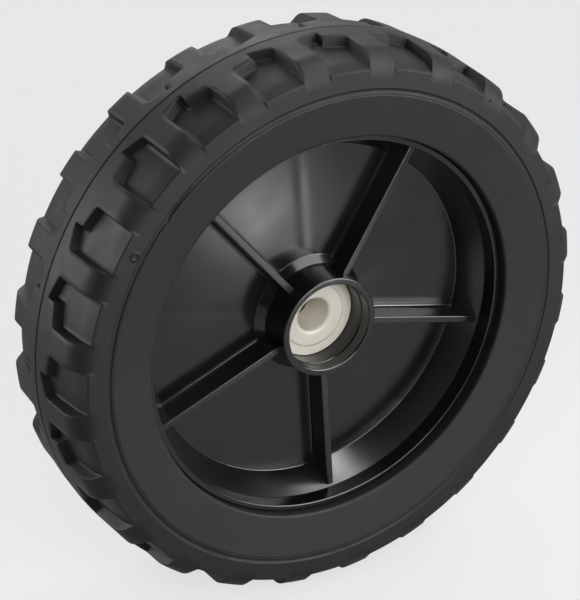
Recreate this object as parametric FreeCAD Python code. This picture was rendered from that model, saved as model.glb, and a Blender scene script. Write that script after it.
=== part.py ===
import FreeCAD, Part
import math
import os

# A lawn mower wheel: a solid rubber tyre, keyed on a moulded plastic rim that turns on two plain bushes.
# It is drawn about its axle, which is the Z axis until the last step. A point of a section is given by its
# distance from the axle and by "out", its distance from the middle plane towards the wheel's outer face.
# The last step stands the wheel up, with its axle along Y and its outer face towards -Y.
# Sizes are in millimetres and angles in degrees.

# Tyre
tyre_diameter = 200.0
tyre_width = 51.0
tyre_section_height = 30.5
tread_taper = 1.4
shoulder_radius = 8.5
seam_width = 1.2
seam_depth = 0.6
ring_groove_inset = 14.0
ring_groove_width = 1.6
ring_groove_depth = 0.7
bead_fall = 2.4
bead_radius = 1.0

# Tread: headed and plain lugs take turns on each half, with a pocket between neighbours
lug_pairs = 12
first_headed_lug_angle = 20.5
head_width = 25.8
neck_width = 9.6
plain_lug_width = 9.2
pocket_point_out = 3.2
plain_lug_root_out = 6.3
head_end_out = 7.4
neck_root_out = 9.2
pocket_depth = 3.5
pocket_wall_draft = 15.0
floor_taper = 1.5
floor_bend_inset = 4.5
floor_run_out = 1.1
cutter_overrun = 2.0

# Rim: a barrel under the tyre, a cone and a flat web inside it, and a hub in the middle
rim_edge_recess = 3.1
rim_edge_radius = 0.6
barrel_wall = 2.2
barrel_draft = 0.3
barrel_depth = 5.7
cone_run = 5.9
cone_wall = 2.6
web_front_out = 4.9
web_thickness = 3.0
inner_edge_radius = 0.8
trough_radius = 1.2
key_height = 1.5
key_width = 6.0
key_flank = 1.0
tyre_clearance = 0.1

# Ribs, on both faces of the web
rib_count = 5
first_rib_angle = 273.75
rib_thickness = 2.5
rib_draft = 0.25
front_rib_height = 8.6
rear_rib_height = 9.0
rib_edge_radius = 0.6
rib_foot_radius = 1.0
rib_bite = 1.0

# Hub
hub_wall = 2.7
hub_draft = 0.55
hub_foot_radius = 2.5
hub_edge_radius = 0.5
hub_mouth_recess = 0.75
hub_mouth_relief = 0.35
hub_mouth_depth = 4.5
hub_rear_overhang = 2.0
bush_press_clearance = 0.05

# Bushes
bore_diameter = 12.0
bush_wall = 4.0
flange_step = 5.3
flange_thickness = 3.4
nose_width = 5.2
nose_height = 0.5
bush_edge_radius = 0.4
stem_gap = 3.0
rear_flange_proud = 0.5

# Places that follow from the sizes above
tread_radius = tyre_diameter / 2
half_width = tyre_width / 2
rim_seat_radius = tread_radius - tyre_section_height
bead_out = half_width - bead_fall
rim_edge_out = bead_out - rim_edge_recess
barrel_mouth_radius = rim_seat_radius - barrel_wall
barrel_floor_radius = barrel_mouth_radius - barrel_draft
cone_top_out = rim_edge_out - barrel_depth
cone_foot_radius = barrel_floor_radius - cone_run
web_back_out = web_front_out - web_thickness
bore_radius = bore_diameter / 2
stem_radius = bore_radius + bush_wall
flange_radius = stem_radius + flange_step
flange_seat_radius = flange_radius + bush_press_clearance
hub_radius = flange_seat_radius + hub_wall
hub_core_radius = flange_seat_radius + hub_wall / 2
hub_mouth_out = rim_edge_out - hub_mouth_recess
hub_rear_out = -rim_edge_out - hub_rear_overhang
rear_seat_out = hub_rear_out + flange_thickness - rear_flange_proud
stem_length = (web_front_out - rear_seat_out - stem_gap) / 2

CENTRE = FreeCAD.Vector(0, 0, 0)
AXLE = FreeCAD.Vector(0, 0, 1)


def rounded_outline(corners):
    """A closed outline through corners (a, b, radius), with each corner rounded by a tangent arc."""
    edges = []
    points = [FreeCAD.Vector(a, 0, b) for a, b, radius in corners]
    stops = []
    for i, (a, b, radius) in enumerate(corners):
        corner = points[i]
        back = (points[i - 1] - corner).normalize()
        ahead = (points[(i + 1) % len(points)] - corner).normalize()
        half_angle = back.getAngle(ahead) / 2
        setback = radius / math.tan(half_angle)
        inward = (back + ahead).normalize()
        middle = corner + inward * (radius / math.sin(half_angle) - radius)
        stops.append((corner + back * setback, middle, corner + ahead * setback, radius))
    for i, (start, middle, end, radius) in enumerate(stops):
        edges.append(Part.LineSegment(stops[i - 1][2], start).toShape())
        if radius > 0:
            edges.append(Part.Arc(start, middle, end).toShape())
    return Part.Face(Part.Wire(edges))


def turned(corners):
    """A solid of revolution about the axle, from the corners of its section."""
    return rounded_outline(corners).revolve(CENTRE, AXLE, 360)


def mirrored_section(corners):
    """The same corners on the other side of the middle plane, in the order that closes the outline."""
    return [(radius_at, -out, radius) for radius_at, out, radius in reversed(corners)]


def tyre_blank():
    """The tyre before its tread is cut: tapered tread, ringed sidewalls and a bore with a key groove."""
    groove = tread_radius - ring_groove_inset
    groove_half = ring_groove_width / 2
    groove_floor_out = half_width - ring_groove_depth
    bore = rim_seat_radius + tyre_clearance
    key_half = key_width / 2 + tyre_clearance
    outer_half = [
        (tread_radius, seam_width / 2, 0),
        (tread_radius - tread_taper, half_width, shoulder_radius),
        (groove + groove_half, half_width, 0),
        (groove + groove_half / 2, groove_floor_out, 0),
        (groove - groove_half / 2, groove_floor_out, 0),
        (groove - groove_half, half_width, 0),
        (bore, bead_out, bead_radius),
        (bore, key_half + key_flank, 0),
        (bore + key_height, key_half, 0),
    ]
    seam = [(tread_radius - seam_depth, 0, 0)]
    return turned(seam + outer_half + mirrored_section(outer_half))


def inset(outline, distance):
    """The corners of a counter-clockwise outline, with every side moved inwards by the distance."""
    moved = []
    for i, (a, b) in enumerate(outline):
        before_a, before_b = outline[i - 1]
        after_a, after_b = outline[(i + 1) % len(outline)]
        first = FreeCAD.Vector(before_b - b, a - before_a, 0).normalize()
        second = FreeCAD.Vector(b - after_b, after_a - a, 0).normalize()
        step = (first + second) * (distance / (1 + first.dot(second)))
        moved.append((a + step.x, b + step.y))
    return moved


def tread_pocket():
    """What is cut out between a headed lug and the plain lug after it, on the outer half, at angle 0.

    Its outline lies flat against the tread: it starts in a point beside the head, widens along the plain
    lug's root and behind the head's end, and runs out over the shoulder."""
    half_pitch = math.pi * tread_radius / (2 * lug_pairs)
    plain_side = half_pitch - plain_lug_width / 2
    head_side = head_width / 2 - half_pitch
    neck_side = neck_width / 2 - half_pitch
    far_out = half_width + cutter_overrun
    outline = [
        (plain_side, far_out),
        (neck_side, far_out),
        (neck_side, neck_root_out),
        (head_side, head_end_out),
        (head_side, pocket_point_out),
        (plain_side, plain_lug_root_out),
    ]
    floor_side_depth = pocket_depth + floor_taper + floor_run_out
    deepest = floor_side_depth + cutter_overrun
    wires = []
    for depth in (deepest, -cutter_overrun):
        level = inset(outline, depth * math.tan(math.radians(pocket_wall_draft)))
        corners = [FreeCAD.Vector(tread_radius - depth, a, b) for a, b in level]
        wires.append(Part.makePolygon(corners + corners[:1]))
    block = Part.makeLoft(wires, True, True)
    bend_out = half_width - floor_bend_inset
    run_out_slope = floor_run_out / floor_bend_inset
    end_out = far_out + cutter_overrun
    end_depth = floor_side_depth + (end_out - half_width) * run_out_slope
    above_floor = turned(
        [
            (tread_radius - pocket_depth, 0, 0),
            (tread_radius - pocket_depth - floor_taper, bend_out, 0),
            (tread_radius - end_depth, end_out, 0),
            (tread_radius + cutter_overrun, end_out, 0),
            (tread_radius + cutter_overrun, 0, 0),
        ]
    )
    return block.common(above_floor)


def make_tyre():
    """The blank with its pockets cut, as mirror images on both sides of each headed lug and on both halves."""
    after_head = tread_pocket()
    before_head = after_head.mirror(CENTRE, FreeCAD.Vector(0, 1, 0))
    half_pitch_angle = 90 / lug_pairs
    pockets = []
    for pair in range(lug_pairs):
        headed_lug_angle = first_headed_lug_angle + pair * 360 / lug_pairs
        for pocket, side in ((after_head, 1), (before_head, -1)):
            placed = pocket.rotated(CENTRE, AXLE, headed_lug_angle + side * half_pitch_angle)
            pockets.append(placed)
            pockets.append(placed.mirror(CENTRE, AXLE))
    return tyre_blank().cut(pockets)


def cone_back(radius_at=None, out=None):
    """Where the back of the cone's wall reaches a given radius, or lies at a given out."""
    rise = cone_top_out - web_front_out
    length = math.hypot(cone_run, rise)
    back_radius = cone_foot_radius + cone_wall * rise / length
    back_out = web_front_out - cone_wall * cone_run / length
    if out is None:
        return back_out + (radius_at - back_radius) * rise / cone_run
    return back_radius + (out - back_out) * cone_run / rise


def rim_body():
    """The rim without its ribs, as one turned section: hub, web, cone, barrel and the key under the tyre."""
    stem_hole = stem_radius + bush_press_clearance
    hub_mouth_radius = flange_seat_radius + hub_mouth_relief
    relief_out = hub_mouth_out - hub_mouth_depth
    key_half = key_width / 2
    return turned(
        [
            (stem_hole, web_front_out, 0),
            (flange_seat_radius, web_front_out, 0),
            (flange_seat_radius, relief_out - hub_mouth_relief, 0),
            (hub_mouth_radius, relief_out, 0),
            (hub_mouth_radius, hub_mouth_out, hub_edge_radius),
            (hub_radius, hub_mouth_out, hub_edge_radius),
            (hub_radius + hub_draft, web_front_out, hub_foot_radius),
            (cone_foot_radius, web_front_out, inner_edge_radius),
            (barrel_floor_radius, cone_top_out, inner_edge_radius),
            (barrel_mouth_radius, rim_edge_out, inner_edge_radius),
            (rim_seat_radius, rim_edge_out, rim_edge_radius),
            (rim_seat_radius, key_half + key_flank, 0),
            (rim_seat_radius + key_height, key_half, 0),
            (rim_seat_radius + key_height, -key_half, 0),
            (rim_seat_radius, -key_half - key_flank, 0),
            (rim_seat_radius, -rim_edge_out, rim_edge_radius),
            (barrel_mouth_radius, -rim_edge_out, inner_edge_radius),
            (barrel_floor_radius, cone_back(radius_at=barrel_floor_radius), trough_radius),
            (cone_back(out=web_back_out), web_back_out, inner_edge_radius),
            (hub_radius + hub_draft, web_back_out, hub_foot_radius),
            (hub_radius, hub_rear_out, hub_edge_radius),
            (flange_seat_radius, hub_rear_out, hub_edge_radius),
            (flange_seat_radius, rear_seat_out, 0),
            (stem_hole, rear_seat_out, 0),
        ]
    )


def rib(height):
    """A rib along X that stands on Z = 0, with rounded top edges and filleted feet, buried a little below."""
    top_half = rib_thickness / 2
    foot_half = top_half + rib_draft
    skirt_half = foot_half + 2 * rib_foot_radius
    half = [
        (skirt_half, -rib_bite, 0),
        (skirt_half, 0, 0),
        (foot_half, 0, rib_foot_radius),
        (top_half, height, rib_edge_radius),
    ]
    other_half = [(-a, b, radius) for a, b, radius in reversed(half)]
    section = rounded_outline(half + other_half)
    section.rotate(CENTRE, AXLE, 90)
    return section.extrude(FreeCAD.Vector(rim_seat_radius, 0, 0))


def front_rib():
    """A rib on the web's front, which ends inside the hub's wall and inside the cone's."""
    bowl = turned(
        [
            (hub_core_radius, web_front_out - rib_bite, 0),
            (cone_foot_radius, web_front_out - rib_bite, 0),
            (barrel_floor_radius + rib_bite, cone_top_out, 0),
            (barrel_floor_radius + rib_bite, rim_edge_out, 0),
            (hub_core_radius, rim_edge_out, 0),
        ]
    )
    standing = rib(front_rib_height).translated(AXLE * web_front_out)
    return standing.common(bowl)


def rear_rib():
    """A rib on the web's back, which ends inside the hub's wall and inside the barrel's."""
    trough_radius_at = barrel_floor_radius + rib_bite
    buried_out = web_back_out + rib_bite
    bowl = turned(
        [
            (hub_core_radius, buried_out, 0),
            (cone_back(out=buried_out), buried_out, 0),
            (trough_radius_at, cone_back(radius_at=trough_radius_at), 0),
            (trough_radius_at, -rim_edge_out, 0),
            (hub_core_radius, -rim_edge_out, 0),
        ]
    )
    hanging = rib(rear_rib_height).mirror(CENTRE, AXLE).translated(AXLE * web_back_out)
    return hanging.common(bowl)


def make_rim():
    """The rim as one moulding, with its ribs in line on both faces of the web."""
    ribs = []
    for shape in (front_rib(), rear_rib()):
        for i in range(rib_count):
            ribs.append(shape.rotated(CENTRE, AXLE, first_rib_angle + i * 360 / rib_count))
    return rim_body().fuse(ribs).removeSplitter()


def make_bush():
    """A flanged bush: its flange stands on Z = 0 with a low nose round the bore, and its stem hangs below."""
    nose_out = flange_thickness + nose_height
    nose_radius = bore_radius + nose_width
    return turned(
        [
            (bore_radius, -stem_length, bush_edge_radius),
            (stem_radius, -stem_length, bush_edge_radius),
            (stem_radius, 0, 0),
            (flange_radius, 0, 0),
            (flange_radius, flange_thickness, bush_edge_radius),
            (nose_radius, flange_thickness, 0),
            (nose_radius, nose_out, 0),
            (bore_radius, nose_out, bush_edge_radius),
        ]
    )


bush = make_bush()
pieces = {
    "tyre": make_tyre(),
    "rim": make_rim(),
    "outer_bush": bush.translated(AXLE * web_front_out),
    "inner_bush": bush.mirror(CENTRE, AXLE).translated(AXLE * rear_seat_out),
}

os.makedirs("parts", exist_ok=True)
for name, shape in pieces.items():
    upright = shape.rotated(CENTRE, FreeCAD.Vector(1, 0, 0), 90)
    upright.exportStep("parts/" + name + ".step")
    print(name, "solids", len(upright.Solids), "valid", upright.isValid(), "volume", round(upright.Volume))
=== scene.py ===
# %% [markdown]
# # A lawn mower wheel
# The wheel has a solid rubber tyre, a gloss black plastic rim moulded in one piece, and two pale plastic
# bushes that run on the axle. The measured solids come in as a fixed frame. This lesson lays finer surfaces
# over them, with the small roundings that catch the light, and gives each piece its finish.
#
# Every surface here is a grid: a section with two numbers per point, carried round the axle. The axle runs
# along Y, the outer face looks towards -Y and Z is up. Sizes are in millimetres until a point is placed.

# %% Load the frame
import math

import bpy
import numpy as np
from mathutils import Matrix, Vector


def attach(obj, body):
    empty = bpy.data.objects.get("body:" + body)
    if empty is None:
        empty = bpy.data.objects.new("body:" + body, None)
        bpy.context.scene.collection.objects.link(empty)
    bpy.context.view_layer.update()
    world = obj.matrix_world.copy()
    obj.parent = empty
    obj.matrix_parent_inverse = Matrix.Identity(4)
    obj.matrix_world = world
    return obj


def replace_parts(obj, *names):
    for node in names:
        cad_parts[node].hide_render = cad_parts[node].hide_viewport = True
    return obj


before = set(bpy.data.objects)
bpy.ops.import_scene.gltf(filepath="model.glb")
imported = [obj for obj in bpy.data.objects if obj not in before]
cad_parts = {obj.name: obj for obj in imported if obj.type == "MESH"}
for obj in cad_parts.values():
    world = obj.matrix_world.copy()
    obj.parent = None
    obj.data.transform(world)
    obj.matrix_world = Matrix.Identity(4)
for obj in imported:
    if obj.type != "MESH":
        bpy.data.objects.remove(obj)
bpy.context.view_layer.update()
scene = bpy.context.scene
scene.view_settings.view_transform = "Standard"
MM = 0.001

# %% [markdown]
# ## Sections with rounded corners
# A moulded piece has no sharp edges, because rubber and plastic don't fill a sharp corner well and would tear
# there. A Bevel modifier could round a finished mesh, but every width would need its own edge weights. Here a
# section is a list of corners with a rounding each. Straight lines get more points only near their ends, which
# keeps flat faces flat under smooth shading, and arcs get enough steps to roll the light round.

# %% Section helper
SUPPORT = 0.25
SHORT_LINE_SHARE = 0.3


def rounded_section(corners, closed=True, arc_steps=6):
    """Points along a section with corners (radius from axle, out, rounding), in millimetres.
    Each corner becomes a tangent arc: setback = rounding / tan(half the corner's angle). Each straight line
    gets one more point near either end, which holds the smooth shading of the flat between them."""
    points = np.array([c[:2] for c in corners], float)
    rounding = np.array([c[2] for c in corners], float)
    back = np.roll(points, 1, 0) - points
    ahead = np.roll(points, -1, 0) - points
    length = np.linalg.norm(ahead, axis=1)
    back /= np.linalg.norm(back, axis=1)[:, None]
    ahead /= length[:, None]
    half = np.arccos(np.clip(np.sum(back * ahead, 1), -1, 1)) / 2
    setback = rounding / np.tan(half)
    support = np.minimum(SUPPORT, SHORT_LINE_SHARE * (length - setback - np.roll(setback, -1)))
    side = np.sign(back[:, 0] * ahead[:, 1] - back[:, 1] * ahead[:, 0])
    samples = []
    for i in range(len(points)):
        start = points[i] + back[i] * setback[i]
        end = points[i] + ahead[i] * setback[i]
        if rounding[i] > 0:
            middle = (back[i] + ahead[i]) / np.linalg.norm(back[i] + ahead[i])
            centre = points[i] + middle * rounding[i] / math.sin(half[i])
            angles = -side[i] * np.linspace(0, math.pi - 2 * half[i], arc_steps + 1)
            arm = start - centre
            turned = [arm[0] * np.cos(angles) - arm[1] * np.sin(angles),
                      arm[0] * np.sin(angles) + arm[1] * np.cos(angles)]
            samples.append(np.stack(turned, 1) + centre)
        else:
            samples.append(start[None])
        if closed or i < len(points) - 1:
            finish = points[(i + 1) % len(points)] - ahead[i] * setback[(i + 1) % len(points)]
            samples.append(np.stack([end + ahead[i] * support[i], finish - ahead[i] * support[i]]))
    return np.concatenate(samples)


small_square = [(10, 0, 1), (14, 0, 1), (14, 4, 1), (10, 4, 1)]
print("points on a square with rounded corners", len(rounded_section(small_square)))

# %% [markdown]
# ## From a grid to a mesh
# A lathe shape could come from the Screw modifier, but the tread's section changes from angle to angle. So
# every point is placed by one formula from its radius, its out and its angle, for a whole array at once. The
# faces are the cells of the grid, turned round if their volume comes out negative, so that they look outwards.

# %% Grid helpers
def round_the_axle(radius, out, angle):
    """A point at a radius, an out and an angle, in metres: (r cos a, -out, r sin a)."""
    radius, out, angle = np.broadcast_arrays(radius, out, angle)
    return np.stack([radius * np.cos(angle), -out, radius * np.sin(angle)], -1) * MM


def grid_faces(rows, columns, close_rows=True):
    """The four corners of every cell. The last column joins the first, and so does the last row if closed."""
    i = np.arange(rows if close_rows else rows - 1)[:, None]
    j = np.arange(columns)[None, :]
    ahead, beside = (i + 1) % rows, (j + 1) % columns
    corners = [i * columns + j, i * columns + beside, ahead * columns + beside, ahead * columns + j]
    return np.stack(np.broadcast_arrays(*corners), -1).reshape(-1, 4)


def signed_volume(points, quads):
    """Six times the volume inside the quads, negative where they face inwards."""
    a, b, c, d = (points[quads[:, k]] for k in range(4))
    return np.sum(np.cross(b - a, c - a) * a) + np.sum(np.cross(c - a, d - a) * a)


def new_piece(name, points, quads, material):
    """A smooth mesh object from points and quads, facing outwards, that rides on the wheel."""
    points = np.ascontiguousarray(points.reshape(-1, 3))
    if signed_volume(points, quads) < 0:
        quads = quads[:, ::-1]
    mesh = bpy.data.meshes.new(name)
    mesh.from_pydata(points, [], quads.tolist())
    mesh.shade_smooth()
    piece = bpy.data.objects.new(name, mesh)
    scene.collection.objects.link(piece)
    mesh.materials.append(material)
    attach(piece, "root")
    print(name, "triangles", 2 * len(quads))
    return piece


print("cells of a closed 3 by 4 grid", len(grid_faces(3, 4)))

# %% [markdown]
# ## Finishes from nodes
# A finish is a short chain of shader nodes. Noise on the piece's own coordinates is spread over a range, and
# then tints a colour, changes the roughness or raises a bump. A painted image could do that too, but noise
# has no seams and stays sharp at any distance. Each helper here adds one link of the chain.

# %% Colour and noise helpers
def new_material(name, colour, roughness):
    """A node material with its constant colour and roughness set on the shader itself."""
    material = bpy.data.materials.new(name)
    material.use_nodes = True
    shader = material.node_tree.nodes["Principled BSDF"]
    shader.inputs["Base Color"].default_value = (*colour, 1)
    shader.inputs["Roughness"].default_value = roughness
    return material, shader


def noise(material, scale, detail):
    """Noise on Object coordinates, with its scale in features per metre."""
    nodes, links = material.node_tree.nodes, material.node_tree.links
    where = nodes.new("ShaderNodeTexCoord")
    texture = nodes.new("ShaderNodeTexNoise")
    texture.inputs["Scale"].default_value = scale
    texture.inputs["Detail"].default_value = detail
    links.new(where.outputs["Object"], texture.inputs["Vector"])
    return texture.outputs["Fac"]


def spread(material, value, low, high, start=0.3, end=0.7):
    """A value from start to end, spread over low to high. Most noise lies between 0.3 and 0.7."""
    nodes, links = material.node_tree.nodes, material.node_tree.links
    span = nodes.new("ShaderNodeMapRange")
    span.inputs["From Min"].default_value = start
    span.inputs["From Max"].default_value = end
    span.inputs["To Min"].default_value = low
    span.inputs["To Max"].default_value = high
    links.new(value, span.inputs["Value"])
    return span.outputs["Result"]


def two_tone(material, value, dark, light):
    """A colour between dark and light that follows a value from 0 to 1."""
    nodes, links = material.node_tree.nodes, material.node_tree.links
    mix = nodes.new("ShaderNodeMix")
    mix.data_type = "RGBA"
    mix.inputs["A"].default_value = (*dark, 1)
    mix.inputs["B"].default_value = (*light, 1)
    links.new(value, mix.inputs["Factor"])
    return mix.outputs["Result"]


def bump(material, value, strength, height, over=None):
    """A bump of a height in metres from a value, over another bump's normal if one is given."""
    nodes, links = material.node_tree.nodes, material.node_tree.links
    node = nodes.new("ShaderNodeBump")
    node.inputs["Strength"].default_value = strength
    node.inputs["Distance"].default_value = height
    links.new(value, node.inputs["Height"])
    if over is not None:
        links.new(over, node.inputs["Normal"])
    return node.outputs["Normal"]


print("finish helpers", [f.__name__ for f in (new_material, noise, spread, two_tone, bump)])

# %% [markdown]
# ## Marks drawn by arithmetic
# A mould leaves marks at exact places, which noise can't give. Math nodes can: they work out how far a point
# lies from the mark's middle, and a bell curve of that distance draws a soft line. The mark then stays on its
# place on the piece, whatever the view.

# %% Arithmetic helpers
def maths(material, operation, *values):
    """One step of arithmetic on sockets or numbers."""
    node = material.node_tree.nodes.new("ShaderNodeMath")
    node.operation = operation
    for socket, value in zip(node.inputs, values):
        if isinstance(value, (int, float)):
            socket.default_value = value
        else:
            material.node_tree.links.new(value, socket)
    return node.outputs["Value"]


def object_axes(material):
    """The X, Y and Z of a point on the piece, in metres."""
    nodes, links = material.node_tree.nodes, material.node_tree.links
    where = nodes.new("ShaderNodeTexCoord")
    axes = nodes.new("ShaderNodeSeparateXYZ")
    links.new(where.outputs["Object"], axes.inputs["Vector"])
    return axes.outputs["X"], axes.outputs["Y"], axes.outputs["Z"]


def distance(material, x, z):
    """The square root of x squared plus z squared."""
    squares = maths(material, "ADD", maths(material, "MULTIPLY", x, x), maths(material, "MULTIPLY", z, z))
    return maths(material, "SQRT", squares)


def bell(material, away):
    """A soft line: exp(-away squared), which is 1 on the line and nearly 0 past twice its width."""
    square = maths(material, "MULTIPLY", away, away)
    return maths(material, "EXPONENT", maths(material, "MULTIPLY", square, -1))


print("arithmetic helpers", [f.__name__ for f in (maths, object_axes, distance, bell)])

# %% [markdown]
# ## Tyre rubber
# Rubber from a mould is a matte near-black with a fine grain and slight cloudy patches. On the outer sidewall
# the mould left a small raised ring, where the rubber was let in, and a tiny pit, where air was let out. The
# clouds tint the colour, finer patches change the roughness, and the grain is a bump. The two marks could be
# cut into the mesh, but at a millimetre or two a bump shows them as well and adds no faces.

# %% Make the rubber
RUBBER_DARK = (0.0085, 0.0092, 0.0089)
RUBBER_LIGHT = (0.0112, 0.0118, 0.0115)
RUBBER_ROUGHNESS = (0.52, 0.62)
RUBBER_SPECULAR = 0.22
# Each noise has its scale and its detail.
RUBBER_CLOUDS, RUBBER_PATCHES, RUBBER_GRAIN = (45, 4), (140, 3), (1500, 2)
GRAIN_STRENGTH, GRAIN_HEIGHT = 0.25, 0.0001
GATE, GATE_RADIUS, GATE_LINE = (-75.2, 47.6), 1.3, 0.35
VENT, VENT_LINE = (58.2, 72.2), 0.5
MARK_HEIGHT = 0.0004


def small_ring(material, centre, radius, line):
    """A ring on the outer side, where Y is below 0: a bell of (distance from its centre - radius) / line."""
    x, y, z = object_axes(material)
    beside = maths(material, "SUBTRACT", x, centre[0] * MM)
    above = maths(material, "SUBTRACT", z, centre[1] * MM)
    past = maths(material, "SUBTRACT", distance(material, beside, above), radius * MM)
    ring = bell(material, maths(material, "DIVIDE", past, line * MM))
    return maths(material, "MULTIPLY", ring, maths(material, "LESS_THAN", y, 0))


def make_rubber():
    """Cloudy colour, patchy roughness, and a bump of grain with the gate's ring up and the vent's pit down."""
    material, shader = new_material("tyre_rubber", RUBBER_LIGHT, RUBBER_ROUGHNESS[1])
    links = material.node_tree.links
    shader.inputs["Specular IOR Level"].default_value = RUBBER_SPECULAR
    clouds = spread(material, noise(material, *RUBBER_CLOUDS), 0, 1)
    links.new(two_tone(material, clouds, RUBBER_DARK, RUBBER_LIGHT), shader.inputs["Base Color"])
    patches = noise(material, *RUBBER_PATCHES)
    links.new(spread(material, patches, *RUBBER_ROUGHNESS), shader.inputs["Roughness"])
    grain = bump(material, noise(material, *RUBBER_GRAIN), GRAIN_STRENGTH, GRAIN_HEIGHT)
    gate = small_ring(material, GATE, GATE_RADIUS, GATE_LINE)
    vent = small_ring(material, VENT, 0, VENT_LINE)
    marks = maths(material, "SUBTRACT", gate, vent)
    links.new(bump(material, marks, 1.0, MARK_HEIGHT, grain), shader.inputs["Normal"])
    return material


RUBBER = make_rubber()
print(RUBBER.name, "nodes", len(RUBBER.node_tree.nodes))

# %% [markdown]
# ## Rim plastic
# The rim's black plastic comes glossy from a polished mould, with a slight waviness. Between two ribs, where
# two streams of the melt met, a faint furrow runs out along the radius. The tops of the ribs and the cone are
# a little duller than the web, and they are also painted a lighter grey there, which is painted sheen. Two
# materials could give that, but an attribute of the points can say where, so that one material serves the
# whole moulding.

# %% Make the plastic
RIBS = 5
FIRST_RIB = math.radians(273.75)
RIM_BLACK = (0.007, 0.007, 0.0075)
# A lighter grey mixed in at the rib tops, hub face and cone: painted sheen, not the plastic's own colour.
RIM_PAINTED_SHEEN = (0.075, 0.075, 0.074)
RIM_ROUGHNESS = (0.14, 0.22)
SATIN_ROUGHNESS = 0.35
RIM_PATCHES, RIM_WAVES = (60, 3), (90, 1)
WAVE_STRENGTH, WAVE_HEIGHT = 0.06, 0.0004
WELD_WIDTH, WELD_HEIGHT = 0.0022, 0.00005


def weld_furrow(material):
    """A furrow along the middle between two ribs: minus a bell of (distance from that radius) / width."""
    x, _, z = object_axes(material)
    half = math.pi / RIBS
    angle = maths(material, "SUBTRACT", maths(material, "ARCTAN2", z, x), FIRST_RIB + half)
    beside = maths(material, "WRAP", angle, half, -half)
    away = maths(material, "MULTIPLY", beside, distance(material, x, z))
    return maths(material, "MULTIPLY", bell(material, maths(material, "DIVIDE", away, WELD_WIDTH)), -1)


def make_rim_plastic():
    """Gloss black that turns rougher, and is painted greyer as painted sheen, by an attribute on the points,
    with waves and furrows as bumps.
    """
    material, shader = new_material("gloss_black_plastic", RIM_BLACK, RIM_ROUGHNESS[1])
    nodes, links = material.node_tree.nodes, material.node_tree.links
    satin_and_sheen = nodes.new("ShaderNodeAttribute")
    satin_and_sheen.attribute_name = "satin_and_sheen"
    dull_and_sheen = satin_and_sheen.outputs["Fac"]
    # Painted sheen: the attribute lifts the colour towards the lighter grey.
    links.new(two_tone(material, dull_and_sheen, RIM_BLACK, RIM_PAINTED_SHEEN), shader.inputs["Base Color"])
    gloss = spread(material, noise(material, *RIM_PATCHES), *RIM_ROUGHNESS)
    rougher = maths(material, "MULTIPLY", dull_and_sheen, SATIN_ROUGHNESS)
    links.new(maths(material, "ADD", gloss, rougher), shader.inputs["Roughness"])
    waves = bump(material, noise(material, *RIM_WAVES), WAVE_STRENGTH, WAVE_HEIGHT)
    links.new(bump(material, weld_furrow(material), 1.0, WELD_HEIGHT, waves), shader.inputs["Normal"])
    return material


RIM_PLASTIC = make_rim_plastic()
print(RIM_PLASTIC.name, "nodes", len(RIM_PLASTIC.node_tree.nodes))

# %% [markdown]
# ## Bush nylon
# Bushes like these are often nylon, which runs on a steel axle without oil. It is left in its own colour, a
# slightly warm white, with a satin surface. One flat colour could do, but it looks lifeless close up, so two
# close tones of noise and a very fine bump break it up.

# %% Make the nylon
NYLON_DARK = (0.84, 0.80, 0.68)
NYLON_LIGHT = (0.89, 0.855, 0.75)
NYLON_ROUGHNESS = 0.45
NYLON_CLOUDS, NYLON_GRAIN = (220, 3), (900, 2)
NYLON_BUMP_STRENGTH, NYLON_BUMP_HEIGHT = 0.15, 0.00008


def make_bush_nylon():
    """A pale colour between two tones, and a fine grain as bump."""
    material, shader = new_material("bush_nylon", NYLON_DARK, NYLON_ROUGHNESS)
    links = material.node_tree.links
    clouds = spread(material, noise(material, *NYLON_CLOUDS), 0, 1)
    links.new(two_tone(material, clouds, NYLON_DARK, NYLON_LIGHT), shader.inputs["Base Color"])
    grain = noise(material, *NYLON_GRAIN)
    links.new(bump(material, grain, NYLON_BUMP_STRENGTH, NYLON_BUMP_HEIGHT), shader.inputs["Normal"])
    return material


BUSH_NYLON = make_bush_nylon()
print(BUSH_NYLON.name, "nodes", len(BUSH_NYLON.node_tree.nodes))

# %% [markdown]
# ## The tread's two surfaces
# The tops of the lugs taper slightly from the mould's seam in the middle to a round shoulder. Below them lies
# the floor of the pockets, which falls to a crisp edge on the sidewall. The pockets could be cut with
# Booleans, but those leave long thin faces that shade badly. Here both surfaces get the same rows, and each
# point of the tyre is a mix of its lug point and its floor point, by how deep the pocket is there.

# %% Tops of the lugs
TREAD_RADIUS = 100.0
HALF_WIDTH = 25.5
TREAD_TAPER = 1.4
SEAM_HALF = 0.6
SEAM_DEPTH = 0.6


def tread_top(out):
    """Radius of the lugs' tops: tread radius - taper * out / half width - a V for the mould's seam."""
    seam = SEAM_DEPTH * np.clip(1 - np.abs(out) / SEAM_HALF, 0, 1)
    return TREAD_RADIUS - TREAD_TAPER * out / HALF_WIDTH - seam


print("radius in the seam and at the edge", tread_top(np.array([0.0, HALF_WIDTH])))

# %% Floor of the pockets
POCKET_DEPTH = 2.7
FLOOR_TAPER = 2.3
FLOOR_BEND_OUT = 21.0
FLOOR_RUN_OUT = 1.6


def pocket_floor(out):
    """Radius of the pockets' floor: tread radius - depth - a taper up to the bend - a faster fall past it."""
    taper = FLOOR_TAPER * np.clip(out / FLOOR_BEND_OUT, 0, 1)
    past = np.clip(out - FLOOR_BEND_OUT, 0, None) / (HALF_WIDTH - FLOOR_BEND_OUT)
    return TREAD_RADIUS - POCKET_DEPTH - taper - FLOOR_RUN_OUT * past


edge_radius = float(pocket_floor(HALF_WIDTH))
print("floor's radius at the edge", round(edge_radius, 2))

# %% [markdown]
# ## Lugs and pockets on the flat
# Headed and plain lugs take turns round each half of the tread. Laid out flat, one pocket reaches from the
# middle of a headed lug to the middle of the plain lug after it, and the next pocket is its mirror image. Its
# walls lean and have soft edges, as a mould needs them to let go of the rubber.

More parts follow.
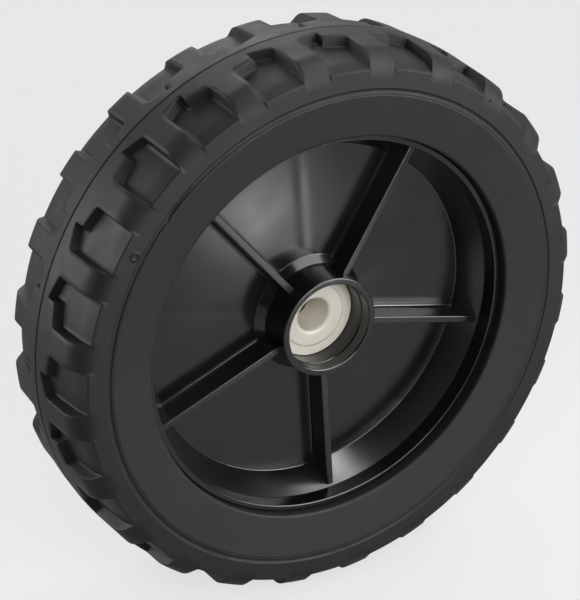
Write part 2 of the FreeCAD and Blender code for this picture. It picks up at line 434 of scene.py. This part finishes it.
# %% One pocket's outline
PAIRS = 12
FIRST_HEADED_LUG = math.radians(20.5)
HEAD_WIDTH, NECK_WIDTH, PLAIN_WIDTH = 25.8, 9.6, 9.2
HALF_PITCH = math.pi * TREAD_RADIUS / (2 * PAIRS)
PLAIN_SIDE = HALF_PITCH - PLAIN_WIDTH / 2
HEAD_SIDE = HEAD_WIDTH / 2 - HALF_PITCH
NECK_SIDE = NECK_WIDTH / 2 - HALF_PITCH
POINT_OUT, PLAIN_ROOT_OUT = 3.2, 6.3
HEAD_END_OUT, NECK_ROOT_OUT = 7.4, 9.2
print("pocket from", round(NECK_SIDE, 2), "to", round(PLAIN_SIDE, 2), "head's side at", round(HEAD_SIDE, 2))

# %% Soft walls
WALL_RUN = 0.8
WALL_LEAD = 0.1
WALL_ROUNDING = 0.2
WALL_STEPS = np.array([0, 0.1, 0.22, 0.78, 0.9, 1])


def soft_ramp(t):
    """From 0 to 1 over t: a parabola at both ends, and a straight slope of 1 / (1 - rounding) between them."""
    t = np.clip(t, 0, 1)
    r = WALL_ROUNDING
    steep = 1 / (1 - r)
    low = steep * t * t / (2 * r)
    high = 1 - steep * (1 - t) ** 2 / (2 * r)
    return np.where(t < r, low, np.where(t > 1 - r, high, steep * (t - r / 2)))


print("depth up a wall", soft_ramp(WALL_STEPS).round(2))

# %% [markdown]
# ## Columns and rows that follow the pockets
# A plain grid would cut the slanting lug edges into stairs, and a finer one would have too many faces. So the
# columns crowd where a pocket's side walls are, and two bands of rows bend along its slanting ends: one along
# the plain lug's root, one behind the head. A pocket is as deep as the deeper band says, and the first band
# counts only beside the head.

# %% Columns round the tread
FLOOR_COLUMNS = 6
LUG_COLUMNS = 4


def column_stations():
    """Distances across one pocket, from the headed lug's middle to the plain lug's, crowded at the walls."""
    neck_wall = NECK_SIDE + WALL_RUN * (WALL_STEPS - WALL_LEAD)
    head_wall = HEAD_SIDE + WALL_RUN * (WALL_STEPS - WALL_LEAD)
    plain_wall = PLAIN_SIDE - WALL_RUN * (WALL_STEPS[::-1] - WALL_LEAD)
    left_floor = np.linspace(neck_wall[-1], head_wall[0], FLOOR_COLUMNS)[1:-1]
    right_floor = np.linspace(head_wall[-1], plain_wall[0], FLOOR_COLUMNS)[1:-1]
    neck = np.linspace(-HALF_PITCH, neck_wall[0], LUG_COLUMNS)[:-1]
    plain = np.linspace(plain_wall[-1], HALF_PITCH, LUG_COLUMNS)[1:]
    return np.concatenate([neck, neck_wall, left_floor, head_wall, right_floor, plain_wall, plain])


across = column_stations()
pair_across = np.concatenate([across[:-1], across[:0:-1]])
pair_angle = np.concatenate([across[:-1] + HALF_PITCH, 3 * HALF_PITCH - across[:0:-1]]) / TREAD_RADIUS
ACROSS = np.tile(pair_across, PAIRS)
ANGLE = FIRST_HEADED_LUG + (np.repeat(np.arange(PAIRS), len(pair_angle)) * 2 * math.pi / PAIRS
                            + np.tile(pair_angle, PAIRS))
print("columns", len(ANGLE))

# %% Bands along the pockets' ends
HEAD_SLANT_RUN, HEAD_SLANT_RISE = 3.0, 1.6
root_band = np.interp(ACROSS, [HEAD_SIDE, PLAIN_SIDE], [POINT_OUT, PLAIN_ROOT_OUT])
head_band = np.interp(ACROSS, [NECK_SIDE, HEAD_SIDE, HEAD_SIDE + HEAD_SLANT_RUN],
                      [NECK_ROOT_OUT, HEAD_END_OUT, HEAD_END_OUT + HEAD_SLANT_RISE])
past_neck = soft_ramp((ACROSS - NECK_SIDE) / WALL_RUN + WALL_LEAD)
before_plain = soft_ramp((PLAIN_SIDE - ACROSS) / WALL_RUN + WALL_LEAD)
in_sides = past_neck * before_plain
beside_head = soft_ramp((ACROSS - HEAD_SIDE) / WALL_RUN + WALL_LEAD)
print("columns in pockets", int((in_sides > 0.5).sum()), "of", len(ACROSS))

# %% Rows from the seam to the shoulder
SEAM_SHARES = [0, 0.5, 0.85, 1, 1.2]
LAND_SHARES = [0.35, 0.7]
FLOOR_SHARES = [0.2, 0.4, 0.6, 0.8, 1]
BAND_GAP = 0.2
SHOULDER = 8.5
taper_angle = math.atan2(TREAD_TAPER, HALF_WIDTH)
shoulder_turn = math.pi / 2 - taper_angle
shoulder_setback = SHOULDER * math.tan(shoulder_turn / 2)
SHOULDER_OUT = HALF_WIDTH - shoulder_setback * math.cos(taper_angle)


def band_rows(start, end, shares):
    """Rows between two lines of outs, one per share of the way."""
    return start[None] + (end - start)[None] * np.asarray(shares)[:, None]


def tread_rows():
    """Outs and depths of the tread's rows for every column, from the seam to the shoulder's start.
    Depth = sides * the larger of the head band's ramp and (beside the head * the root band's ramp)."""
    seam = np.full_like(ACROSS, SEAM_HALF)
    shoulder = np.full_like(ACROSS, SHOULDER_OUT)
    root_start = root_band - WALL_LEAD * WALL_RUN
    root_end = root_start + WALL_RUN
    head_start = np.maximum(head_band - WALL_LEAD * WALL_RUN, root_end + BAND_GAP)
    head_end = head_start + WALL_RUN
    outs = np.concatenate([
        band_rows(0 * seam, seam, SEAM_SHARES),
        band_rows(seam * SEAM_SHARES[-1], root_start, LAND_SHARES),
        band_rows(root_start, root_end, WALL_STEPS),
        band_rows(root_end, head_start, [0.5]),
        band_rows(head_start, head_end, WALL_STEPS),
        band_rows(head_end, shoulder, FLOOR_SHARES),
    ])
    root_ramp = soft_ramp((outs - root_start) / WALL_RUN)
    head_ramp = soft_ramp((outs - head_start) / WALL_RUN)
    return outs, in_sides * np.maximum(head_ramp, beside_head * root_ramp)


tread_out, tread_depth = tread_rows()
print("tread rows", len(tread_out))

# %% [markdown]
# ## Shoulder and sidewall
# Past the shoulder's start the rows no longer depend on the column. On a lug they roll round the shoulder,
# which is a plain arc. In a pocket they run along the floor to its crisp edge and down the sidewall, until
# both meet where the arc ends.

# %% Rows round the shoulder
SHOULDER_ROWS = 10
FLOOR_EDGE_ROUNDING = 0.35
FLOOR_OUTS = np.array([18.8, 20.4, 21.8, 23.4, HALF_WIDTH - 2 * FLOOR_EDGE_ROUNDING,
                       HALF_WIDTH - 0.25 * FLOOR_EDGE_ROUNDING])
EDGE_DROPS = [0.3 * FLOOR_EDGE_ROUNDING, 2 * FLOOR_EDGE_ROUNDING, 2]
shoulder_angle = np.linspace(0, shoulder_turn, SHOULDER_ROWS + 1)[1:] + taper_angle
shoulder_centre = (TREAD_RADIUS - TREAD_TAPER - shoulder_setback, HALF_WIDTH - SHOULDER)
lug_shoulder = np.stack([shoulder_centre[0] + SHOULDER * np.cos(shoulder_angle),
                         shoulder_centre[1] + SHOULDER * np.sin(shoulder_angle)], 1)
floor_shoulder = np.concatenate([
    np.stack([pocket_floor(FLOOR_OUTS), FLOOR_OUTS], 1),
    [[edge_radius - drop, HALF_WIDTH] for drop in EDGE_DROPS],
    lug_shoulder[-1:],
])
print("shoulder rows", len(lug_shoulder), "and on the floor", len(floor_shoulder))

# %% [markdown]
# ## From the sidewall to the bore
# A ring groove circles the sidewall, with a fine line beside it where two rings of the mould met. Inside them
# the wall falls back to a rounded bead, and in the bore a groove takes the rim's key, so that the tyre can't
# slip sideways. All this is one open section, the same at every angle.

# %% Rows down the sidewall
FLAT_STEP = 0.5
GROOVE_RADIUS, GROOVE_HALF, GROOVE_DEPTH, GROOVE_ROWS = 86.0, 0.9, 0.5, 9
FINE_LINE, FINE_LINE_HALF, FINE_LINE_DEPTH = 84.8, 0.25, 0.25
BEAD_OUT, BEAD_ROUNDING, BEAD_STEPS = 23.1, 1.0, 4
BORE_RADIUS = 69.6
KEY_HEIGHT, KEY_HALF, KEY_FLANK = 1.5, 3.1, 1.0
flat_start = [[lug_shoulder[-1][0] - FLAT_STEP, HALF_WIDTH],
              [GROOVE_RADIUS + GROOVE_HALF + SUPPORT, HALF_WIDTH]]
groove_turn = np.linspace(0, math.pi, GROOVE_ROWS)
groove = np.stack([GROOVE_RADIUS + GROOVE_HALF * np.cos(groove_turn),
                   HALF_WIDTH - GROOVE_DEPTH * np.sin(groove_turn)], 1)
fine_line = [[FINE_LINE + FINE_LINE_HALF, HALF_WIDTH],
             [FINE_LINE, HALF_WIDTH - FINE_LINE_DEPTH],
             [FINE_LINE - FINE_LINE_HALF, HALF_WIDTH]]
bead = rounded_section([
    (FINE_LINE - FINE_LINE_HALF - SUPPORT, HALF_WIDTH, 0),
    (BORE_RADIUS, BEAD_OUT, BEAD_ROUNDING),
    (BORE_RADIUS, KEY_HALF + KEY_FLANK, 0),
    (BORE_RADIUS + KEY_HEIGHT, KEY_HALF, 0),
    (BORE_RADIUS + KEY_HEIGHT, 0, 0),
], closed=False, arc_steps=BEAD_STEPS)
wall = np.concatenate([flat_start, groove, fine_line, bead])
print("sidewall rows", len(wall))

# %% [markdown]
# ## The whole tyre
# Lug and floor rows are mixed by depth, the sidewall's rows follow, and the inner half is the mirror image.
# A thin slit crosses the ring groove at one place on the outer side, where two pieces of the mould met. It is
# as deep as a point's distance from its slanting line says, so it needs no mesh of its own.

# %% Mix the rows
def repeated(values):
    """Values of one section, the same in every column."""
    return np.repeat(values[:, None], len(ANGLE), 1)


def tyre_grid():
    """Radius and out of the tyre's outer half, for every row and column: lug + (floor - lug) * depth."""
    lug_radius = np.concatenate([tread_top(tread_out), repeated(lug_shoulder[:, 0])])
    lug_out = np.concatenate([tread_out, repeated(lug_shoulder[:, 1])])
    floor_radius = np.concatenate([pocket_floor(tread_out), repeated(floor_shoulder[:, 0])])
    floor_out = np.concatenate([tread_out, repeated(floor_shoulder[:, 1])])
    depth = np.concatenate([tread_depth, np.repeat(in_sides[None], len(lug_shoulder), 0)])
    radius = lug_radius + (floor_radius - lug_radius) * depth
    out = lug_out + (floor_out - lug_out) * depth
    return np.concatenate([radius, repeated(wall[:, 0])]), np.concatenate([out, repeated(wall[:, 1])])


half_radius, half_out = tyre_grid()
tyre_radius = np.concatenate([half_radius, half_radius[-2:0:-1]])
tyre_out = np.concatenate([half_out, -half_out[-2:0:-1]])
print("tyre's grid", tyre_radius.shape, "radius from", tyre_radius.min(), "to", round(tyre_radius.max(), 2))

# %% Cut the slit and make the tyre
SLIT_START = (math.radians(129.7), 86.2)
SLIT_END = (math.radians(138.0), 85.1)
SLIT_HALF = 0.32
SLIT_DEPTH = 0.6
SIDEWALL_BAND = 1


def slit_depth(radius, angle):
    """How far the slit sinks the sidewall: depth * (1 - distance from its slant / its half width), or 0."""
    along = (np.mod(angle, 2 * math.pi) - SLIT_START[0]) / (SLIT_END[0] - SLIT_START[0])
    middle = SLIT_START[1] + (SLIT_END[1] - SLIT_START[1]) * along
    beside = np.clip(1 - np.abs(radius - middle) / SLIT_HALF, 0, 1)
    return SLIT_DEPTH * beside * ((along > 0) & (along < 1))


outer_side = tyre_out > HALF_WIDTH - SIDEWALL_BAND
tyre_out = tyre_out - slit_depth(tyre_radius, ANGLE[None]) * outer_side
tyre_points = round_the_axle(tyre_radius, tyre_out, ANGLE[None])
tyre = new_piece("tyre_tread", tyre_points, grid_faces(*tyre_points.shape[:2]), RUBBER)
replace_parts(tyre, "tyre")

# %% [markdown]
# ## The rim's turned part
# The rim is one moulding: hub, web, cone and barrel, with a key round the barrel that holds the tyre. A Screw
# modifier could turn it, but the ribs have to join the same mesh, so its closed section is carried round the
# axle as an array too. The back of the cone runs parallel to its front, so its corners follow from the cone's
# wall. At the hub's foot a short flare takes the place of a fillet, as it catches the light in one clean band.

# %% Rim sizes
RIM_SEAT, RIM_EDGE_OUT = 69.5, 20.0
BARREL_MOUTH, BARREL_FLOOR = 67.3, 67.0
CONE_TOP_OUT, CONE_FOOT, CONE_WALL = 14.3, 61.1, 2.6
WEB_FRONT, WEB_BACK = 4.9, 1.9
HUB_RADIUS, HUB_FOOT, HUB_REAR_OUT = 18.05, 18.6, -22.0
HUB_MOUTH_OUT, HUB_MOUTH_RADIUS = 19.25, 15.7
RELIEF_START_OUT, RELIEF_END_OUT = 14.4, 14.75
FLARE_HEIGHT, FLARE_RUN, FLARE_INSET = 2.6, 2.5, 0.1
FLANGE_SEAT, STEM_HOLE, REAR_SEAT = 15.35, 10.05, -19.1
RIM_KEY_FOOT_HALF, RIM_KEY_TOP_HALF = 4.0, 3.0
cone = np.array([BARREL_FLOOR - CONE_FOOT, CONE_TOP_OUT - WEB_FRONT])
cone_slope = cone[1] / cone[0]
through_wall = np.array([cone[1], -cone[0]]) / np.linalg.norm(cone)
cone_back = np.array([CONE_FOOT, WEB_FRONT]) + CONE_WALL * through_wall
trough_out = cone_back[1] + (BARREL_FLOOR - cone_back[0]) * cone_slope
back_foot = cone_back[0] + (WEB_BACK - cone_back[1]) / cone_slope
print("cone's back from radius", round(back_foot, 2), "to out", round(trough_out, 2))

# %% Rim section
HUB_EDGE, FLARE_TOP_EDGE, FLARE_FOOT_EDGE = 0.5, 0.8, 0.4
CONE_FOOT_EDGE, CONE_TOP_EDGE, MOUTH_EDGE, SEAT_EDGE = 0.4, 0.8, 0.4, 0.6
REAR_EDGE, TROUGH_EDGE, REAR_HUB_FOOT_EDGE = 0.8, 1.2, 2.5
RIM_COLUMNS = 256
RIM_CORNERS = [
    (STEM_HOLE, WEB_FRONT, 0),
    (FLANGE_SEAT, WEB_FRONT, 0),
    (FLANGE_SEAT, RELIEF_START_OUT, 0),
    (HUB_MOUTH_RADIUS, RELIEF_END_OUT, 0),
    (HUB_MOUTH_RADIUS, HUB_MOUTH_OUT, HUB_EDGE),
    (HUB_RADIUS, HUB_MOUTH_OUT, HUB_EDGE),
    (HUB_FOOT - FLARE_INSET, WEB_FRONT + FLARE_HEIGHT, FLARE_TOP_EDGE),
    (HUB_FOOT + FLARE_RUN, WEB_FRONT, FLARE_FOOT_EDGE),
    (CONE_FOOT, WEB_FRONT, CONE_FOOT_EDGE),
    (BARREL_FLOOR, CONE_TOP_OUT, CONE_TOP_EDGE),
    (BARREL_MOUTH, RIM_EDGE_OUT, MOUTH_EDGE),
    (RIM_SEAT, RIM_EDGE_OUT, SEAT_EDGE),
    (RIM_SEAT, RIM_KEY_FOOT_HALF, 0),
    (RIM_SEAT + KEY_HEIGHT, RIM_KEY_TOP_HALF, 0),
    (RIM_SEAT + KEY_HEIGHT, -RIM_KEY_TOP_HALF, 0),
    (RIM_SEAT, -RIM_KEY_FOOT_HALF, 0),
    (RIM_SEAT, -RIM_EDGE_OUT, SEAT_EDGE),
    (BARREL_MOUTH, -RIM_EDGE_OUT, REAR_EDGE),
    (BARREL_FLOOR, trough_out, TROUGH_EDGE),
    (back_foot, WEB_BACK, REAR_EDGE),
    (HUB_FOOT, WEB_BACK, REAR_HUB_FOOT_EDGE),
    (HUB_RADIUS, HUB_REAR_OUT, HUB_EDGE),
    (FLANGE_SEAT, HUB_REAR_OUT, HUB_EDGE),
    (FLANGE_SEAT, REAR_SEAT, 0),
    (STEM_HOLE, REAR_SEAT, 0),
]


def turned_grid(corners, columns):
    """A closed section carried once round the axle: every point of it at every column's angle."""
    section = rounded_section(corners)
    angle = np.linspace(0, 2 * math.pi, columns, endpoint=False)
    points = round_the_axle(section[:, :1], section[:, 1:], angle[None])
    return points, grid_faces(len(section), columns)


rim_parts = [turned_grid(RIM_CORNERS, RIM_COLUMNS)]
print("turned part's grid", rim_parts[0][0].shape[:2])

# %% [markdown]
# ## Ribs
# Five ribs on each face of the web brace the hub against the cone. Each is a thin wall with fillets at its
# foot, which let the plastic flow in. A Boolean union would weld it to the web, but the fillet then needs a
# bevel on a curved seam. Here the fillet belongs to the rib's own section and ends flat, a hair above the web,
# and the rib's ends are buried in hub and cone.

# %% A rib's section
RIB_TOP_HALF, RIB_FOOT_HALF = 1.25, 1.5
RIB_FOOT_ROUNDING, RIB_EDGE_ROUNDING = 0.9, 0.4
SKIRT_ROUNDINGS = 1.5
RIB_LIFT, RIB_BURIED = 0.015, 0.6
FRONT_RIB_HEIGHT, REAR_RIB_HEIGHT = 8.6, 9.0


def rib_section(height):
    """Across a rib: skirts just over the web, filleted feet, slightly tapered sides and a rounded top."""
    skirt = RIB_FOOT_HALF + SKIRT_ROUNDINGS * RIB_FOOT_ROUNDING
    half = [(skirt, -RIB_BURIED, 0), (skirt, RIB_LIFT, 0), (RIB_FOOT_HALF, RIB_LIFT, RIB_FOOT_ROUNDING),
            (RIB_TOP_HALF, height, RIB_EDGE_ROUNDING)]
    other = [(-a, b, r) for a, b, r in reversed(half)]
    return rounded_section(half + other)


print("points round a rib", len(rib_section(FRONT_RIB_HEIGHT)))

# %% A rib along its radius
def rib_grid(height, ends, web, sign, angle):
    """A rib's section between an inner and an outer end line, which lean by the height, along one radius.
    ends are ((inner at foot, inner at top), (outer at foot, outer at top)), and sign is 1 in front, -1 behind.
    A ring near each buried end keeps the end's cap from tilting the shading along the rib."""
    section = rib_section(height)
    share = np.clip(section[:, 1] / height, 0, 1)
    starts = ends[0][0] + (ends[0][1] - ends[0][0]) * share
    stops = ends[1][0] + (ends[1][1] - ends[1][0]) * share
    along = np.stack([starts, starts + SUPPORT, stops - SUPPORT, stops])
    side = np.broadcast_to(section[:, 0], along.shape)
    out = web + sign * np.broadcast_to(section[:, 1], along.shape)
    x = along * math.cos(angle) - side * math.sin(angle)
    z = along * math.sin(angle) + side * math.cos(angle)
    points = np.stack([x, -out, z], -1) * MM
    return points, capped(points, grid_faces(len(along), len(section), close_rows=False))


def capped(points, quads):
    """A tube of equal rings with each end closed by quads across it."""
    rings, n = points.shape[:2]
    i = np.arange(n // 2 - 1)
    cap = np.stack([i, i + 1, n - 2 - i, n - 1 - i], 1)
    return np.concatenate([quads, cap[:, ::-1], cap + (rings - 1) * n])


RIB_START = 17.0
CONE_BITE, REAR_FOOT_INSET, REAR_BITE = 0.8, 0.2, 1.2
front_stop = CONE_FOOT + CONE_BITE
front_ends = ((RIB_START, RIB_START), (front_stop, front_stop + FRONT_RIB_HEIGHT / cone_slope))
rear_ends = ((RIB_START, RIB_START), (back_foot - REAR_FOOT_INSET, BARREL_FLOOR + REAR_BITE))
FRONT_AND_REAR = ((FRONT_RIB_HEIGHT, front_ends, WEB_FRONT, 1), (REAR_RIB_HEIGHT, rear_ends, WEB_BACK, -1))
for k in range(RIBS):
    for height, ends, web, sign in FRONT_AND_REAR:
        rim_parts.append(rib_grid(height, ends, web, sign, FIRST_RIB + k * 2 * math.pi / RIBS))
print("parts of the rim", len(rim_parts))

# %% Join the rim
def joined(parts):
    """Several grids as one list of points and one of quads, each facing outwards."""
    points, quads, count = [], [], 0
    for part_points, part_quads in parts:
        flat = part_points.reshape(-1, 3)
        if signed_volume(flat, part_quads) < 0:
            part_quads = part_quads[:, ::-1]
        points.append(flat)
        quads.append(part_quads + count)
        count += len(flat)
    return np.concatenate(points), np.concatenate(quads)


rim_points, rim_quads = joined(rim_parts)
rim = new_piece("rim_moulding", rim_points, rim_quads, RIM_PLASTIC)
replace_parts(rim, "rim")

# %% [markdown]
# ## Where the plastic is duller and painted lighter
# The duller places are found from each point's distance from the axle and its out: the tops of the front ribs,
# the face of the hub and the cone. There the colour is also painted a lighter grey, which is painted sheen. A
# second material would leave a hard border, but an attribute of the points fades from one to the next.

# %% Satin and painted sheen attribute
# Each share makes its place rougher and also paints it a lighter grey as painted sheen.
RIB_TOP_SATIN_AND_SHEEN, HUB_FACE_SATIN_AND_SHEEN, CONE_SATIN_AND_SHEEN = 0.3, 0.03, 0.15
TOP_TOLERANCE, FACE_TOLERANCE, CONE_INSET, WEB_MARGIN, BARREL_MARGIN = 0.15, 0.05, 0.3, 0.5, 1
from_axle = np.hypot(rim_points[:, 0], rim_points[:, 2]) / MM
rim_out = -rim_points[:, 1] / MM
at_rib_top = np.abs(rim_out - WEB_FRONT - FRONT_RIB_HEIGHT) < TOP_TOLERANCE
rib_top = at_rib_top & (from_axle < BARREL_FLOOR - BARREL_MARGIN)
hub_face = (rim_out > HUB_MOUTH_OUT - FACE_TOLERANCE) & (from_axle < HUB_FOOT)
between = (from_axle > CONE_FOOT + CONE_INSET) & (from_axle < BARREL_FLOOR)
on_cone = between & (rim_out > WEB_FRONT + WEB_MARGIN)
dullness_and_sheen = np.select([rib_top, hub_face, on_cone], [RIB_TOP_SATIN_AND_SHEEN, HUB_FACE_SATIN_AND_SHEEN, CONE_SATIN_AND_SHEEN], 0)
satin_and_sheen = rim.data.attributes.new("satin_and_sheen", "FLOAT", "POINT")
satin_and_sheen.data.foreach_set("value", dullness_and_sheen.astype(np.float32))
print("satin points", int(rib_top.sum()), int(hub_face.sum()), int(on_cone.sum()))

# %% [markdown]
# ## The bushes
# Both bushes are the same moulding: a flange with a low nose round the bore, and a stem that is pushed into
# the hub. The outer one lies deep in the hub's mouth, the inner one faces the machine. Bevelled cylinders
# could stand for them, but the rim's helper already turns a section with its own rounding at every edge. A
# sign turns the second one over.

# %% Make the bushes
BORE, STEM, STEM_LENGTH = 6.0, 10.0, 10.0
FLANGE, FLANGE_THICK = 15.3, 3.4
NOSE, NOSE_OUT, NOSE_FLANK = 11.2, 3.9, 0.7
BUSH_EDGE, NOSE_EDGE, BORE_EDGE = 0.4, 0.3, 1.2
BUSH_COLUMNS = 96


def bush_corners(seat, sign):
    """The bush's section on a seat: sign is 1 where its flange faces out, and -1 where it faces in."""
    corners = [
        (BORE, -STEM_LENGTH, BUSH_EDGE),
        (STEM, -STEM_LENGTH, BUSH_EDGE),
        (STEM, 0, 0),
        (FLANGE, 0, 0),
        (FLANGE, FLANGE_THICK, BUSH_EDGE),
        (NOSE + NOSE_FLANK, FLANGE_THICK, NOSE_EDGE),
        (NOSE, NOSE_OUT, NOSE_EDGE),
        (BORE, NOSE_OUT, BORE_EDGE),
    ]
    return [(radius, seat + sign * out, rounding) for radius, out, rounding in corners]


BUSHES = (("bush_outer", "outer_bush", WEB_FRONT, 1), ("bush_inner", "inner_bush", REAR_SEAT, -1))
for name, node, seat, sign in BUSHES:
    points, quads = turned_grid(bush_corners(seat, sign), BUSH_COLUMNS)
    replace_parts(new_piece(name, points, quads, BUSH_NYLON), node)

# %% [markdown]
# ## Camera
# The camera comes from the wheel's own rings. Their shapes in the picture give the viewing angle, and the lens
# follows from how the near lugs look larger than the far ones. Placing it by eye would do for a sketch, but
# a fitted camera lets the render be laid over the picture.

# %% Place the camera
AZIMUTH = math.radians(-30.454)
ELEVATION = math.radians(27.002)
CENTRE_RIGHT, CENTRE_DOWN, CENTRE_AHEAD = 3.785, 1.796, 748.38
FOCAL_PIXELS = 2169.59
IMAGE_HEIGHT = 600
SENSOR = 36.0
back = Vector((math.sin(AZIMUTH) * math.cos(ELEVATION), -math.cos(AZIMUTH) * math.cos(ELEVATION),
               math.sin(ELEVATION)))
right = Vector((math.cos(AZIMUTH), math.sin(AZIMUTH), 0))
up = back.cross(right)
camera_data = bpy.data.cameras.new("camera")
camera_data.sensor_width = SENSOR
camera_data.lens = FOCAL_PIXELS / IMAGE_HEIGHT * SENSOR
camera = bpy.data.objects.new("camera", camera_data)
place = (CENTRE_AHEAD * back + CENTRE_DOWN * up - CENTRE_RIGHT * right) * MM
camera.matrix_world = Matrix.Translation(place) @ Matrix((right, up, back)).transposed().to_4x4()
scene.collection.objects.link(camera)
scene.camera = camera
print("lens", round(camera_data.lens, 1), "camera at", tuple(round(c, 3) for c in place))

# %% [markdown]
# ## Floor
# The wheel stands on pale paper. Lit paper alone would need so much light that the pale bushes burn out, so
# part of its paleness is a glow that only the camera and mirrored rays see, and the rest takes the wheel's
# shadow. Further off the paper takes no light at all, which keeps it even under the lamps.

# %% Make the floor
FLOOR_Z = -TREAD_RADIUS * MM
FLOOR_HALF = 6.0
FADE_START, FADE_END = 0.2, 0.55
PALE = 0.80
PAPER, UNLIT = (0.32, 0.32, 0.32), (0, 0, 0)
PAPER_ROUGHNESS = 0.9
NEAR_GLOW, MIRRORED_GLOW = 0.66, 0.41


def make_floor():
    """Matte paper that fades to unlit with its distance from the wheel.
    Glow = camera ray * (near glow, rising to pale with the fade) + glossy ray * mirrored glow."""
    material, shader = new_material("pale_floor", PAPER, PAPER_ROUGHNESS)
    nodes, links = material.node_tree.nodes, material.node_tree.links
    shader.inputs["Specular IOR Level"].default_value = 0
    shader.inputs["Emission Color"].default_value = (1, 1, 1, 1)
    where = nodes.new("ShaderNodeTexCoord")
    away = nodes.new("ShaderNodeVectorMath")
    away.operation = "LENGTH"
    links.new(where.outputs["Object"], away.inputs[0])
    far = spread(material, away.outputs["Value"], 0, 1, FADE_START, FADE_END)
    links.new(two_tone(material, far, PAPER, UNLIT), shader.inputs["Base Color"])
    ray = nodes.new("ShaderNodeLightPath")
    near_to_pale = spread(material, far, NEAR_GLOW, PALE, 0, 1)
    straight = maths(material, "MULTIPLY", ray.outputs["Is Camera Ray"], near_to_pale)
    mirrored = maths(material, "MULTIPLY", ray.outputs["Is Glossy Ray"], MIRRORED_GLOW)
    links.new(maths(material, "ADD", straight, mirrored), shader.inputs["Emission Strength"])
    return material


floor_mesh = bpy.data.meshes.new("floor")
floor_corners = [(x * FLOOR_HALF, y * FLOOR_HALF, FLOOR_Z) for x, y in ((-1, -1), (1, -1), (1, 1), (-1, 1))]
floor_mesh.from_pydata(floor_corners, [], [(0, 1, 2, 3)])
floor_mesh.materials.append(make_floor())
floor = bpy.data.objects.new("floor", floor_mesh)
scene.collection.objects.link(floor)
print("floor at", FLOOR_Z, "metres, fading from", FADE_START, "to", FADE_END)

# %% [markdown]
# ## Light from all round
# A photographer's tent gives soft light from every side. The world does that here: it is brighter behind the
# wheel than before it, so gloss shows on edges that turn away and the flat web stays dark. The camera itself
# sees the floor's pale tone instead, which joins floor and background.

# %% World
GLOW_BEHIND, GLOW_BEFORE = 0.85, 0.03
TURN_START, TURN_END = -0.8, 0.75
world = bpy.data.worlds.new("studio")
scene.world = world
world.use_nodes = True
world_nodes, world_links = world.node_tree.nodes, world.node_tree.links
sky = world_nodes["Background"]
sky.inputs["Color"].default_value = (1, 1, 1, 1)
direction = world_nodes.new("ShaderNodeTexCoord")
facing = world_nodes.new("ShaderNodeVectorMath")
facing.operation = "DOT_PRODUCT"
facing.inputs[1].default_value = back
world_links.new(direction.outputs["Generated"], facing.inputs[0])
glow = spread(world, facing.outputs["Value"], GLOW_BEHIND, GLOW_BEFORE, TURN_START, TURN_END)
seen = world_nodes.new("ShaderNodeLightPath").outputs["Is Camera Ray"]
unseen = maths(world, "SUBTRACT", 1, seen)
strength = maths(world, "ADD", maths(world, "MULTIPLY", seen, PALE), maths(world, "MULTIPLY", unseen, glow))
world_links.new(strength, sky.inputs["Strength"])
print("world glows from", GLOW_BEHIND, "behind to", GLOW_BEFORE, "before the wheel")

# %% [markdown]
# ## Lamps
# Black gloss shows what it mirrors, so seven of the lamps are there only to be mirrored: in the web, on the
# cone, on the flare of the hub and along the shoulders of the lugs. Two give only the plain soft light that
# the rubber and the bushes need, and one gives both. It would be simpler if all of them gave both, but then
# the many mirrored panels would burn out the floor.

# %% Lamps
LAMPS = (
    ("fill", (-0.35, -0.60, 0.42), 0.5, 2.4, "diffuse"),
    ("front", (0.16, -0.57, -0.02), 0.2, 1.7, "gloss"),
    ("front_fill", (0.10, -0.72, 0.22), 0.3, 2.0, "diffuse"),
    ("right_panel", (0.9, 0.05, 1.0), 0.8, 2.5, "both"),
    ("overhead", (0.22, -0.12, 1.05), 0.35, 3.6, "gloss"),
    ("over_front", (0.42, -0.44, 0.76), 0.75, 8, "gloss"),
    ("side_right", (0.53, -0.55, 0.25), 0.5, 9, "gloss"),
    ("left", (-1.0, 0.55, 0.30), 0.7, 17, "gloss"),
    ("back", (0.35, 1.2, 0.8), 0.8, 8.5, "gloss"),
    ("gleam", (0.113, -0.245, -0.083), 0.04, 0.03, "gloss"),
)


def area_lamp(name, where, size, power, adds):
    """A soft square lamp aimed at the wheel and never seen itself. It adds diffuse light, gloss or both."""
    data = bpy.data.lights.new(name, "AREA")
    data.size = size
    data.energy = power
    lamp = bpy.data.objects.new(name, data)
    lamp.location = where
    lamp.rotation_euler = (-Vector(where)).to_track_quat("-Z", "Y").to_euler()
    lamp.visible_camera = False
    lamp.visible_diffuse = adds != "gloss"
    lamp.visible_glossy = adds != "diffuse"
    scene.collection.objects.link(lamp)


for lamp_row in LAMPS:
    area_lamp(*lamp_row)
print("lamps", [row[0] for row in LAMPS])
